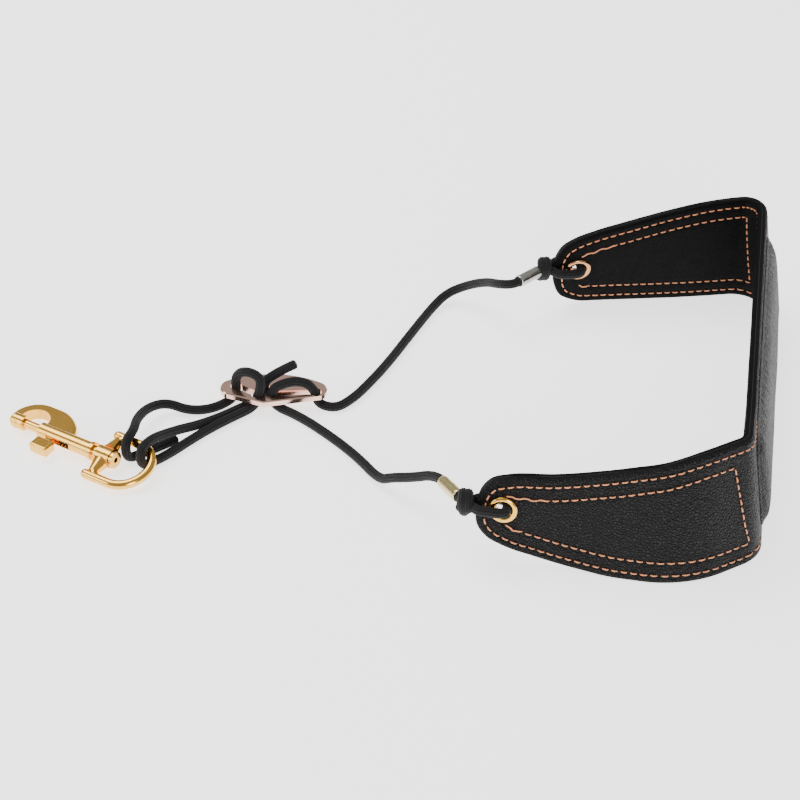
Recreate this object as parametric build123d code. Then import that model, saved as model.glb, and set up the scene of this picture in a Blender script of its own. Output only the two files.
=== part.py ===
from build123d import *
import math
import os

# Neck strap for a saxophone: a padded leather band that stands on its lower edge, bent into a U,
# with a round cord from each tip, a slider on the cords and a swivel snap hook.
# +Z is up, +X points at the back of the neck, the hook lies at -X. Millimetres.

# ---- leather band ----
BAND_HEIGHT = 56.0        # widest part of the band, at the bends
NECK_TOP = 53.0           # upper edge behind the neck
NECK_BOTTOM = 2.5         # lower edge behind the neck
LEATHER = 2.1             # each of the two leather layers
LINER = 0.3               # bonding layer between them
SEAM_GAP = 0.01           # between two bonded layers
LEAN = 8.0                # how much further out the lower edge stands than the upper one
NEAR_TIP = (44.5, -92.6)
NEAR_KNEE = (125.8, -95.9)   # where the near arm starts to turn
NEAR_CORNER = (150.0, -77.2)
FAR_CORNER = (150.0, 100.3)
FAR_TIP = (57.5, 73.9)
KNEE_BEND = 42.0          # radius of the near arm's turn, at mid height
NEAR_BEND = 10.0
FAR_BEND = 11.0
NEAR_TIP_HEIGHT = 24.5    # height of each eyelet's centre over the table
FAR_TIP_HEIGHT = 22.5
# side view of each arm: distance from its tip, and height; the last point of each upper
# edge is the band's full height
NEAR_UPPER = [(0, 24), (1.4, 31), (5.5, 36.2), (12, 38.6), (30, 41.2), (50, 45.8), (70, 51.4), (92, 56)]
NEAR_LOWER = [(0.9, 16), (4.5, 11.4), (11.5, 8), (24, 5), (40, 2), (58, 0)]
FAR_UPPER = [(0, 20), (0.8, 29), (3.5, 34.5), (8.5, 38.2), (17, 41.8), (32, 46.3), (50, 51.3), (66, 54.6), (84, 56)]
FAR_LOWER = [(0.9, 12), (3.5, 7), (8.5, 3.9), (16, 1.8), (32, 0)]

# ---- neck cushion ----
CUSHION_LENGTH = 150.0
CUSHION_CENTRE = 4.0      # along Y
CUSHION_LOW = 4.5
CUSHION_HIGH = 50.5
CUSHION_BULGE = 5.0
COVER = 1.1               # leather over the foam

# ---- eyelets ----
EYELET_FROM_TIP = 10.8
EYELET_HOLE = 6.6
EYELET_FLANGE = 11.6
EYELET_FLANGE_THICK = 0.6
EYELET_WALL = 0.4
EYELET_CLEARANCE = 0.05

# ---- cord and what is on it ----
CORD = 4.1
FOLD = 4.1                # tightest bend of the cord's centre line
LOOP_LIFT = 5.0           # cord's centre over the band's mid plane, beside the eyelet
KNOT_FROM_TIP = 4.6
KNOT_RING = 3.1
KNOT_STEP = 2.5
FERRULE = 14.0
FERRULE_OUTER = 5.4
FERRULE_GAP = 0.05        # between the ferrule's bore and the cord
NEAR_PULL = (-0.57, 0.80, -0.18)
FAR_PULL = (-0.55, -0.82, 0.10)
NEAR_START = 5.0          # from the knot's centre to the ferrule
FAR_START = 3.4

# ---- slider plate ----
PLATE_AT = (-53.0, -13.0)
PLATE_TURN = 5.0
PLATE_LOW = 5.2
PLATE_THICK = 3.0
SLOT = 5.0                # width of the slider's wavy opening, and of its holes
LEFT_HOLE = (-69.0, -13.5)
RIGHT_HOLE = (-34.5, -12.7)
CENTRE_FRONT = (-59.0, -18.0)
CENTRE_BACK = (-57.0, -12.6)
CENTRE_RIGHT = (-53.0, -16.6)
SPLIT = PLATE_LOW + PLATE_THICK / 2

# ---- swivel hook ----
HOOK_AT = (-113.0, -64.3, 4.6)    # middle of the swivel ring's bar
HOOK_HEADING = 156.5
HOOK_TILT = 1.5              # nose down
RING_ROLL = 11.0             # the ring's far side is lifted by the cords under it
EYE_REACH = 21.0             # from the bar to the wire's centre at the ring's far end
EYE_RADIUS = 11.5
EYE_WIRE = 4.0
EYE_CORNER = 4.0
LEG_END = 2.0                # how far the ring's legs run on past its bar
BOSS = 8.2
BOSS_LENGTH = 7.0
RIVET = 4.4
RIVET_BORE = 2.4
RIVET_HEAD = 7.2
RIVET_HEAD_THICK = 1.5
RUNNING_GAP = 0.08
BARREL = 7.0
BARREL_FROM = 7.5
BARREL_TO = 34.0
COLLAR = 8.0
COLLAR_LENGTH = 1.6
NECK_FROM = 4.0
HOOK_THICK = 5.0
MOUTH_AT = (39.3, 2.0)
MOUTH_RADIUS = 6.6
BOLT = 3.9
BOLT_GAP = 0.08
BOLT_FROM = 23.5
BOLT_TO = 43.6
BOLT_TRAVEL = 8.0
TIP_FACE = 43.0
SOCKET_DEPTH = 1.2
BORE_FROM = 10.5
STEM = 2.6
STEM_AT = 27.0
KNOB = (9.0, 6.5, 4.8)
KNOB_AT = -8.6
SPRING_WIRE = 0.5
SPRING_TURNS = 7

HALF = LEATHER + LINER / 2 + SEAM_GAP     # half the band's thickness

hook_place = Pos(*HOOK_AT) * Rot(0, 0, HOOK_HEADING) * Rot(0, HOOK_TILT, 0) * Rot(180, 0, 0)
ring_place = hook_place * Rot(-RING_ROLL, 0, 0)

os.makedirs("parts", exist_ok=True)


def save(shape, name):
    """Write one node."""
    export_step(shape, "parts/" + name + ".step")


def unit(vector):
    return Vector(*vector).normalized()


# ---------------------------------------------------------------- the band

def shifted_line(a, b, distance):
    """The line from a to b, moved to the outside of the U."""
    along = (Vector(*b, 0) - Vector(*a, 0)).normalized()
    out = Vector(along.Y, -along.X, 0) * distance
    return Vector(*a, 0) + out, Vector(*b, 0) + out


def crossing(first, second):
    """Where two flat lines meet."""
    p, r = first[0], first[1] - first[0]
    q, s = second[0], second[1] - second[0]
    t = ((q - p).X * s.Y - (q - p).Y * s.X) / (r.X * s.Y - r.Y * s.X)
    return p + r * t


def band_path(distance, z):
    """The U in plan, moved outwards by a distance."""
    corners = [NEAR_TIP, NEAR_KNEE, NEAR_CORNER, FAR_CORNER, FAR_TIP]
    sides = [shifted_line(a, b, distance) for a, b in zip(corners, corners[1:])]
    points = [crossing(a, b) for a, b in zip(sides, sides[1:])]
    bends = [radius + distance for radius in (KNEE_BEND, NEAR_BEND, FAR_BEND)]
    corners = FilletPolyline(sides[0][0], *points, sides[-1][1], radius=bends)
    return Pos(0, 0, z) * corners


def band_section(inside, outside, z):
    """The band's plan between two distances from the middle line."""
    inner = band_path(inside, z)
    outer = band_path(outside, z)
    ends = [Line(inner @ 0, outer @ 0), Line(inner @ 1, outer @ 1)]
    return make_face(Wire([*inner.edges(), *outer.edges(), *ends[0].edges(), *ends[1].edges()]))


def wall(inside, outside):
    """The leaning wall between two distances, at full height."""
    low = band_section(inside + LEAN / 2, outside + LEAN / 2, 0)
    high = band_section(inside - LEAN / 2, outside - LEAN / 2, BAND_HEIGHT)
    return loft([low, high], ruled=True)


def arm_frame(tip, corner):
    """Plane of an arm: x from the tip towards the bend, y up, z out of the U's outside."""
    along = (Vector(*corner, 0) - Vector(*tip, 0)).normalized()
    return Plane(origin=(*tip, 0), x_dir=along, z_dir=along.cross(Vector(0, 0, 1)))


def arm_outline(upper, lower, length):
    """Side view of an arm: one smooth line from the table round the tip to full height."""
    full = upper[-1][1]
    points = [(x, z * BAND_HEIGHT / full) for x, z in [*reversed(lower), *upper]]
    edges = [
        Spline(*points, tangents=[(-1, 0), (1, 0)]),
        Line(points[-1], (length, BAND_HEIGHT)),
        Line((length, BAND_HEIGHT), (length, 0)),
        Line((length, 0), points[0]),
    ]
    return make_face(Wire([edge.edges()[0] for edge in edges]))


def arm_trim(frame, upper, lower):
    """Block with an arm's side view, as deep as the whole U on both sides of the arm."""
    return extrude(frame * arm_outline(upper, lower, 150), 230, both=True)


def half_space(side):
    return Pos(100, side * 150, 30) * Box(400, 300, 90)


def neck_trim():
    """Block that lowers the band behind the neck, with a soft step at each bend."""
    left, right = NEAR_CORNER[1], FAR_CORNER[1]
    step = 2.0
    run = 26.0
    top = [
        Line((left - 60, BAND_HEIGHT), (left + step, BAND_HEIGHT)),
        Spline((left + step, BAND_HEIGHT), (left + step + run, NECK_TOP), tangents=[(1, 0), (1, 0)]),
        Line((left + step + run, NECK_TOP), (right - run, NECK_TOP)),
        Spline((right - run, NECK_TOP), (right - 6, BAND_HEIGHT), tangents=[(1, 0), (1, 0)]),
        Line((right - 6, BAND_HEIGHT), (right + 20, BAND_HEIGHT)),
    ]
    bottom = [
        Line((right + 20, 0), (right - 6, 0)),
        Spline((right - 6, 0), (right - run, NECK_BOTTOM), tangents=[(-1, 0), (-1, 0)]),
        Line((right - run, NECK_BOTTOM), (left + step + run, NECK_BOTTOM)),
        Spline((left + step + run, NECK_BOTTOM), (left + step, 0), tangents=[(-1, 0), (-1, 0)]),
        Line((left + step, 0), (left - 60, 0)),
    ]
    ends = [
        Line((right + 20, BAND_HEIGHT), (right + 20, 0)),
        Line((left - 60, 0), (left - 60, BAND_HEIGHT)),
    ]
    outline = make_face(Wire([edge.edges()[0] for edge in top + bottom + ends]))
    return extrude(Plane.YZ * outline, 200)


near_frame = arm_frame(NEAR_TIP, NEAR_KNEE)
far_frame_flat = arm_frame(FAR_TIP, FAR_CORNER)


def trimmed(layer):
    """A wall layer cut to the band's outline."""
    layer = layer & neck_trim()
    near_half = layer & half_space(-1) & arm_trim(near_frame, NEAR_UPPER, NEAR_LOWER)
    far_half = layer & half_space(1) & arm_trim(far_frame_flat, FAR_UPPER, FAR_LOWER)
    return near_half + far_half


def lean_at(z):
    """How far the wall's middle stands out from the plan line at a height."""
    return LEAN * (0.5 - z / BAND_HEIGHT)


LEAN_ANGLE = math.degrees(math.atan(LEAN / BAND_HEIGHT))


def tip_place(tip, corner, outward, height):
    """Location at a tip's centre: x beyond the tip, y out of the U, z up along the wall."""
    beyond = (Vector(*tip, 0) - Vector(*corner, 0)).normalized()
    out = beyond.cross(Vector(0, 0, 1)) * outward
    origin = Vector(*tip, height) + out * lean_at(height)
    up = (Vector(0, 0, 1) * math.cos(math.radians(LEAN_ANGLE))
          - out * math.sin(math.radians(LEAN_ANGLE)))
    return Plane(origin=origin, x_dir=beyond, z_dir=up), beyond


near_tip, near_beyond = tip_place(NEAR_TIP, NEAR_KNEE, -1, NEAR_TIP_HEIGHT)
far_tip, far_beyond = tip_place(FAR_TIP, FAR_CORNER, 1, FAR_TIP_HEIGHT)


def side_of(tip_plane, tip, corner):
    """+1 where the plane's y points out of the U, -1 where it points into it."""
    along = (Vector(*corner, 0) - Vector(*tip, 0)).normalized()
    middle = Vector(60, 0, 0)
    away = Vector(*tip, 0) - middle
    return 1 if tip_plane.y_dir.dot(away) > 0 else -1


NEAR_SIDE = side_of(near_tip, NEAR_TIP, NEAR_KNEE)
FAR_SIDE = side_of(far_tip, FAR_TIP, FAR_CORNER)


def across(tip_plane, radius, low, high, side):
    """Cylinder through the band at the eyelet, between two distances from its mid plane."""
    length = high - low
    middle = (high + low) / 2 * side
    rod = Rot(90, 0, 0) * Cylinder(radius, length)
    return tip_plane * (Pos(-EYELET_FROM_TIP, middle, 0) * rod)


def with_eyelet_holes(layer, radius):
    for plane, side in ((near_tip, NEAR_SIDE), (far_tip, FAR_SIDE)):
        layer -= across(plane, radius, -8, 8, side)
    return layer


def band_layers():
    bore = EYELET_HOLE / 2 + EYELET_WALL + EYELET_CLEARANCE
    liner = LINER / 2
    layers = {
        "outer_leather": (liner + SEAM_GAP, HALF),
        "bonding_liner": (-liner, liner),
        "inner_leather": (-HALF, -liner - SEAM_GAP),
    }
    for name, (inside, outside) in layers.items():
        save(with_eyelet_holes(trimmed(wall(inside, outside)), bore), name)


def eyelet(tip_plane, side, name):
    """Rolled eyelet with its washer on the other face."""
    hole = EYELET_HOLE / 2
    flange = EYELET_FLANGE / 2
    face = HALF + SEAM_GAP
    top = face + EYELET_FLANGE_THICK
    shell = across(tip_plane, hole + EYELET_WALL, -top, top, side)
    shell += across(tip_plane, flange, face, top, side)
    shell -= across(tip_plane, hole, -9, 9, side)
    washer = across(tip_plane, flange, -top, -face, side)
    washer -= across(tip_plane, hole + EYELET_WALL + EYELET_CLEARANCE, -9, 0, side)
    save(shell, name + "_eyelet")
    save(washer, name + "_eyelet_washer")


def cushion_block(inset):
    """The cushion's body on the leaning outside face of the neck, smaller by an inset."""
    height = CUSHION_HIGH - CUSHION_LOW
    depth = CUSHION_BULGE - inset
    block = Box(depth, CUSHION_LENGTH - 2 * inset, height - 2 * inset,
                align=(Align.MIN, Align.CENTER, Align.CENTER))
    corners = block.edges().filter_by(Axis.X)
    block = fillet(corners, 9.0 - inset)
    rim = block.faces().sort_by(Axis.X)[-1].edges()
    return fillet(rim, 3.4 - inset)


def cushion():
    middle = (CUSHION_HIGH + CUSHION_LOW) / 2
    centre = (NEAR_CORNER[0] + lean_at(middle), CUSHION_CENTRE, middle)
    place = Pos(*centre) * Rot(0, -LEAN_ANGLE, 0) * Pos(HALF + 0.05, 0, 0)
    whole = cushion_block(0)
    foam = cushion_block(COVER)
    save(place * (whole - foam), "cushion_cover")
    save(place * Pos(0, 0, 0) * foam, "cushion_foam")


# ---------------------------------------------------------------- cords

def turn_at(before, point, after):
    return (point - before).get_angle(after - point)


def cord_radii(points, smallest):
    """Bend radius at each point: as large as its two runs allow, and no tighter than a fold."""
    radii = []
    for before, point, after in zip(points, points[1:], points[2:]):
        shorter = min((point - before).length, (after - point).length)
        half_turn = math.radians(turn_at(before, point, after)) / 2
        radii.append(max(0.45 * shorter / math.tan(half_turn), smallest))
    return radii


def cord_tube(route, name):
    """One length of cord along its route."""
    points = [Vector(*point) for point in route]
    radii = cord_radii(points, FOLD)
    path = FilletPolyline(*points, radius=radii)
    start = Plane(origin=path @ 0, z_dir=path % 0)
    tube = sweep(start * Circle(CORD / 2), path=path)
    expected = math.pi * CORD ** 2 / 4 * path.length
    print(name, "length %.1f" % path.length, "radii", [round(r, 1) for r in radii],
          "volume ratio %.3f" % (tube.volume / expected))
    save(tube, name)
    return tube


def knot_centre(tip_plane):
    return tip_plane.from_local_coords(Vector(KNOT_FROM_TIP, 0, 0))


def cord_exit(tip_plane, pull, start):
    """Where the cord leaves its ferrule."""
    return knot_centre(tip_plane) + unit(pull) * (start + FERRULE)


def knot_and_ferrule(tip_plane, pull, start, name):
    """Two turns of cord, the tail that runs through the ferrule, and the ferrule."""
    turn = Rot(0, 90, 0) * Torus(KNOT_RING, CORD / 2)
    knot = tip_plane * (Pos(KNOT_FROM_TIP - KNOT_STEP / 2, 0, 0) * turn)
    knot += tip_plane * (Pos(KNOT_FROM_TIP + KNOT_STEP / 2, 0, 0) * turn)
    core = tip_plane * (Pos(KNOT_FROM_TIP, 0, 0) * (Rot(0, 90, 0) * Cylinder(KNOT_RING, KNOT_STEP)))
    centre = knot_centre(tip_plane)
    line = Plane(origin=centre, z_dir=unit(pull))
    reach = start + FERRULE
    tail = line * Cylinder(CORD / 2, reach, align=(Align.CENTER, Align.CENTER, Align.MIN))
    knot = knot + core + tail
    bore = CORD / 2 + FERRULE_GAP
    sleeve = Cylinder(FERRULE_OUTER / 2, FERRULE) - Cylinder(bore, FERRULE)
    middle = line * Pos(0, 0, start + FERRULE / 2)
    room = Cylinder(FERRULE_OUTER / 2 + FERRULE_GAP, FERRULE + 2 * FERRULE_GAP) - Cylinder(CORD / 2, 2 * FERRULE)
    save(knot - middle * room, name + "_knot")
    save(middle * sleeve, name + "_ferrule")


def eyelet_loop(tip_plane, name):
    """The bight from the knot through the eyelet and back along the other face."""
    start = KNOT_FROM_TIP - 3.5
    back = -EYELET_FROM_TIP - (EYELET_HOLE - CORD) / 2 + 0.05
    route = [(start, LOOP_LIFT, 0), (back, LOOP_LIFT, 0), (back, -LOOP_LIFT, 0), (start, -LOOP_LIFT, 0)]
    world = [tuple(tip_plane.from_local_coords(Vector(*point))) for point in route]
    cord_tube(world, name + "_eyelet_loop")


def by_ring(u, v, z):
    """Point over the table beside the swivel ring: u towards the nose, v to the hook's back."""
    heading = math.radians(HOOK_HEADING)
    x = HOOK_AT[0] + u * math.cos(heading) + v * math.sin(heading)
    y = HOOK_AT[1] + u * math.sin(heading) - v * math.cos(heading)
    return (x, y, z)


def pull_points(tip_plane, pull, start, run):
    """The cord's first point at its ferrule, and one straight on from it."""
    end = cord_exit(tip_plane, pull, start)
    return [tuple(end), tuple(end + unit(pull) * run)]


def cords():
    z = CORD / 2 + 0.05
    wire_top = EYE_RADIUS * math.sin(math.radians(RING_ROLL)) + EYE_REACH * math.sin(math.radians(HOOK_TILT))
    over = HOOK_AT[2] + wire_top + (EYE_WIRE + CORD) / 2 + 0.05
    cord_tube([
        *pull_points(near_tip, NEAR_PULL, NEAR_START, 6.0), (15.0, -67.5, 12.6), (6.8, -63.2, 8.0),
        (0.5, -59.6, 3.0), (-10.5, -46.0, z), (-24.0, -34.2, z), (-40.0, -22.5, z),
        (*CENTRE_RIGHT, z), (*CENTRE_RIGHT, SPLIT),
    ], "near_cord")
    cord_tube([
        *pull_points(far_tip, FAR_PULL, FAR_START, 3.4), (34.8, 57.8, 22.8), (27.6, 67.4, 16.8),
        (18.0, 73.4, 9.4), (9.4, 73.0, 4.4),
        (4.0, 63.7, 2.3), (-2.0, 44.0, z), (-9.4, 18.5, z), (-15.4, 2.5, z), (-19.6, -7.0, z),
        (-25.6, -15.0, z), (*RIGHT_HOLE, z), (*RIGHT_HOLE, SPLIT),
    ], "far_cord")
    cord_tube([
        (*LEFT_HOLE, SPLIT), (*LEFT_HOLE, z), (-76.8, -23.2, z), (-87.0, -26.2, z), (-96.6, -25.2, 4.6),
        (-103.0, -33.0, 7.2), (-104.9, -44.2, 9.4), by_ring(-4.6, 13.5, over), by_ring(-6.4, 5.4, over),
        by_ring(-6.4, 5.4, z), by_ring(-9.6, 12.6, z), by_ring(-13.2, 20.4, z), by_ring(-15.8, 27.6, z),
    ], "slack_strand")
    cord_tube([
        (*CENTRE_BACK, SPLIT), (*CENTRE_BACK, z), (-64.6, -19.6, z), (-73.0, -29.0, 2.3),
        (-80.6, -37.0, 3.6), (-87.0, -45.0, 6.6), (-91.8, -52.4, 9.2), by_ring(-14.5, 12.5, over),
        by_ring(-14.5, 4.8, over), by_ring(-14.5, 4.8, z), by_ring(-17.6, 12.6, z),
        by_ring(-19.6, 20.8, z), (-82.4, -46.2, z), (-76.2, -37.4, z), (-68.6, -28.4, z),
        (*CENTRE_FRONT, z), (*CENTRE_FRONT, SPLIT),
    ], "band_strand")


def slider_loops():
    """What the cords do on top of the slider plate."""
    half = (Vector(*CENTRE_FRONT, 0) - Vector(*LEFT_HOLE, 0)).length / 2
    rise = SPLIT + 4.0 + half
    cord_tube([
        (*LEFT_HOLE, SPLIT), (*LEFT_HOLE, rise), (*CENTRE_FRONT, rise), (*CENTRE_FRONT, SPLIT),
    ], "left_loop")
    cord_tube([
        (*CENTRE_RIGHT, SPLIT), (*CENTRE_RIGHT, SPLIT + 5.8), (-43.8, -15.2, SPLIT + 7.2),
        (*RIGHT_HOLE, SPLIT + 5.8), (*RIGHT_HOLE, SPLIT),
    ], "right_loop")
    cord_tube([
        (*CENTRE_BACK, SPLIT), (*CENTRE_BACK, SPLIT + 6.0), (-43.6, -8.0, 18.8),
    ], "free_end")


# ---------------------------------------------------------------- slider plate

def slider_plate():
    back_left, back_right = (-20.6, 4.4), (19.6, 6.0)
    front_right, vertex, front_left = (20.6, -3.4), (-3.0, -9.9), (-19.6, -4.9)
    edges = [
        ThreePointArc(back_left, (-1.0, 10.4), back_right),
        ThreePointArc(back_right, (23.0, 1.4), front_right),
        Line(front_right, vertex),
        Line(vertex, front_left),
        ThreePointArc(front_left, (-22.8, 0.0), back_left),
    ]
    outline = make_face(Wire([edge.edges()[0] for edge in edges]))
    outline = fillet(outline.vertices(), 2.0)
    plate = extrude(outline, PLATE_THICK)
    rims = plate.faces().filter_by(Axis.Z).edges()
    plate = chamfer(rims, 0.45)
    place = Pos(*PLATE_AT, PLATE_LOW) * Rot(0, 0, PLATE_TURN)
    plate = place * plate
    holes = [LEFT_HOLE, CENTRE_FRONT, CENTRE_BACK, CENTRE_RIGHT, RIGHT_HOLE]
    cutter = Part()
    for x, y in holes:
        cutter += Pos(x, y, PLATE_LOW) * Cylinder(SLOT / 2, 4 * PLATE_THICK)
    triangle = make_face(Polyline(CENTRE_FRONT, CENTRE_BACK, CENTRE_RIGHT, CENTRE_FRONT))
    cutter += Pos(0, 0, PLATE_LOW - PLATE_THICK) * extrude(triangle, 3 * PLATE_THICK)
    for a, b in ((LEFT_HOLE, CENTRE_FRONT), (CENTRE_RIGHT, RIGHT_HOLE)):
        middle = (Vector(*a, 0) + Vector(*b, 0)) / 2
        span = Vector(*b, 0) - Vector(*a, 0)
        angle = math.degrees(math.atan2(span.Y, span.X))
        channel = Box(span.length, SLOT * 0.62, 4 * PLATE_THICK)
        cutter += Pos(middle.X, middle.Y, PLATE_LOW) * Rot(0, 0, angle) * channel
    save(plate - cutter, "slider_plate")


# ---------------------------------------------------------------- swivel hook
# Built lying flat: x from the swivel ring's bar towards the nose, y to the hook's back, z down.



def rod(radius, start, end):
    """Cylinder along x."""
    middle = (start + end) / 2
    return Pos(middle, 0, 0) * (Rot(0, 90, 0) * Cylinder(radius, end - start))


def swivel_ring():
    side = EYE_RADIUS
    centre = EYE_RADIUS - EYE_REACH
    corner = EYE_CORNER
    s = corner * math.sqrt(0.5)
    edges = [
        Line((0, -side + corner), (0, side - corner)),
        ThreePointArc((0, side - corner), (s - corner, side - corner + s), (-corner, side)),
        Line((-corner, side), (centre, side)),
        ThreePointArc((centre, side), (-EYE_REACH, 0), (centre, -side)),
        Line((centre, -side), (-corner, -side)),
        ThreePointArc((-corner, -side), (s - corner, -side + corner - s), (0, -side + corner)),
    ]
    path = Wire([edge.edges()[0] for edge in edges])
    start = Plane(origin=path @ 0, z_dir=path % 0)
    ring = sweep(start * Circle(EYE_WIRE / 2), path=path)
    half = BOSS_LENGTH / 2
    ring += rod(BOSS / 2, -half, half)
    leg_radius = EYE_WIRE / 2 + 0.1
    leg = rod(leg_radius, -corner, LEG_END) + Pos(LEG_END, 0, 0) * Sphere(leg_radius)
    for end in (-1, 1):
        ring += Pos(0, end * side, 0) * leg
        cone = Cone(EYE_WIRE / 2, BOSS / 2 - 0.6, side - 5.2)
        ring += Pos(0, end * (side + 1.6) / 2, 0) * (Rot(end * 90, 0, 0) * cone)
    ring -= rod(RIVET / 2 + RUNNING_GAP, -half - 1, half + 1)
    save(ring_place * ring, "swivel_ring")


def swivel_rivet():
    """Hollow stud of the hook, spread over inside the ring."""
    half = BOSS_LENGTH / 2
    head_start = -half - 0.15 - RIVET_HEAD_THICK
    stud = rod(RIVET / 2, head_start, BARREL_FROM)
    stud += rod(RIVET_HEAD / 2, head_start, -half - 0.15)
    stud -= rod(RIVET_BORE / 2, head_start - 1, BARREL_FROM - 1.5)
    save(hook_place * stud, "swivel_stud")


def hook_profile():
    """Flat outline of the hook's back, nose and tip."""
    x, y = MOUTH_AT
    nose = 11.6
    edges = [
        Spline((18.0, 1.0), (21.4, 8.0), (29.5, 13.0), (x, y + nose),
               tangents=[(0.2, 1), (1, 0)]),
        ThreePointArc((x, y + nose), (x + nose * 0.78, y + nose * 0.6258), (x + nose, y)),
        Spline((x + nose, y), (x + 10.2, -2.6), (x + 6.0, -3.2), tangents=[(0, -1), (-1, 0.15)]),
        Line((x + 6.0, -3.2), (18.0, -3.2)),
        Line((18.0, -3.2), (18.0, 1.0)),
    ]
    return make_face(Wire([edge.edges()[0] for edge in edges]))


def hook_body():
    x, y = MOUTH_AT
    flat = extrude(hook_profile(), HOOK_THICK / 2, both=True)
    flat = fillet(flat.faces().filter_by(Axis.Z).edges(), 2.0)
    mouth = Pos(x, y, 0) * Cylinder(MOUTH_RADIUS, 20)
    gap = Box(TIP_FACE - BARREL_TO, y + 4.0, 20, align=(Align.MIN, Align.MAX, Align.CENTER))
    flat -= mouth
    flat -= Pos(BARREL_TO, y, 0) * gap
    body = flat + rod(BARREL / 2, BARREL_FROM, BARREL_TO)
    body += rod(COLLAR / 2, BARREL_FROM - COLLAR_LENGTH, BARREL_FROM)
    body += rod(BARREL / 2 - 0.8, NECK_FROM, BARREL_FROM)
    body += rod(BOLT / 2 + 1.3, TIP_FACE, TIP_FACE + 5.5)
    body -= rod(BOLT / 2 + BOLT_GAP, BORE_FROM, TIP_FACE + SOCKET_DEPTH)
    body -= rod(RIVET / 2, 0, BARREL_FROM)
    slot_from = STEM_AT - BOLT_TRAVEL - STEM / 2 - 0.6
    slot_to = STEM_AT + STEM / 2 + 0.3
    slot = Box(slot_to - slot_from, BARREL, STEM + 0.3, align=(Align.MIN, Align.MAX, Align.CENTER))
    body -= Pos(slot_from, 0, 0) * slot
    save(hook_place * body, "hook_body")


def latch():
    bolt = rod(BOLT / 2, BOLT_FROM, BOLT_TO)
    bolt = chamfer(bolt.faces().sort_by(Axis.X)[-1].edges(), 0.4)
    save(hook_place * bolt, "latch_bolt")
    length, width, thick = KNOB
    knob = fillet(Box(length, width, thick).edges(), 1.1)
    stem_end = -BOLT / 2 + 0.25
    stem = Box(STEM, -KNOB_AT + stem_end, STEM, align=(Align.CENTER, Align.MIN, Align.CENTER))
    knob = Pos(STEM_AT, KNOB_AT, 0) * (knob + stem)
    knob -= rod(BOLT / 2, BOLT_FROM, BOLT_TO)
    save(hook_place * knob, "thumb_button")
    start, end = BORE_FROM + SPRING_WIRE, BOLT_FROM - SPRING_WIRE
    height = end - start
    radius = BOLT / 2 - SPRING_WIRE / 2 - 0.15
    coil = Helix(pitch=height / SPRING_TURNS, height=height, radius=radius)
    wire = sweep(Plane(origin=coil @ 0, z_dir=coil % 0) * Circle(SPRING_WIRE / 2), path=coil)
    wire = Pos(start, 0, 0) * (Rot(0, 90, 0) * wire)
    save(hook_place * wire, "latch_spring")


band_layers()
eyelet(near_tip, NEAR_SIDE, "near")
eyelet(far_tip, -FAR_SIDE, "far")
cushion()
for plane, pull, start, name in (
    (near_tip, NEAR_PULL, NEAR_START, "near"),
    (far_tip, FAR_PULL, FAR_START, "far"),
):
    knot_and_ferrule(plane, pull, start, name)
    eyelet_loop(plane, name)
cords()
slider_loops()
slider_plate()
swivel_ring()
swivel_rivet()
hook_body()
latch()
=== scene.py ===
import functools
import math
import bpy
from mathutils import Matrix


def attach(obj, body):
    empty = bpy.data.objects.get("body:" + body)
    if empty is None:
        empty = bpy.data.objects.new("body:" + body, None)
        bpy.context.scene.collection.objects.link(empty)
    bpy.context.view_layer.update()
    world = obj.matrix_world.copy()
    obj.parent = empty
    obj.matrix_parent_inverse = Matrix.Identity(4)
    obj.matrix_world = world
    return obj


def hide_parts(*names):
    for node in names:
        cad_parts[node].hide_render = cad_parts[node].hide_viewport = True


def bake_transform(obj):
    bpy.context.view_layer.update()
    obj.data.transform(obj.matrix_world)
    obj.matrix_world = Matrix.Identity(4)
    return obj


bl_info = {
    "name": "Saxophone Neck Strap",
    "version": (1, 0, 0),
    "blender": (4, 5, 0),
    "location": "3D View > Sidebar > Neck Strap",
    "description": "Builds a padded leather neck strap with its cords, slider plate and snap hook",
    "category": "Object",
}

import bpy
import numpy as np
from bpy.props import FloatProperty, FloatVectorProperty, IntProperty, PointerProperty
from mathutils import Matrix, Vector, noise

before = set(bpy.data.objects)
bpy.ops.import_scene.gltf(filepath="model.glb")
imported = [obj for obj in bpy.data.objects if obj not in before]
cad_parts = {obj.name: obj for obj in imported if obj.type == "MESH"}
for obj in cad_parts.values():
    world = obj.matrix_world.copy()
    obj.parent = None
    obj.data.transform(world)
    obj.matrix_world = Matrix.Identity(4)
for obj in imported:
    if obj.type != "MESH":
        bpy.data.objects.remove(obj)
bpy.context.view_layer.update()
MM = 0.001

# ------------------------------------------------------------------ settings


def a_length(name, description, default):
    """A length in metres."""
    return FloatProperty(name=name, description=description, default=default, unit="LENGTH")


def a_colour(name, description, default):
    return FloatVectorProperty(name=name, description=description, subtype="COLOR", default=default)


def an_angle(name, description, degrees):
    return FloatProperty(name=name, description=description, default=math.radians(degrees), subtype="ANGLE")


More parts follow.
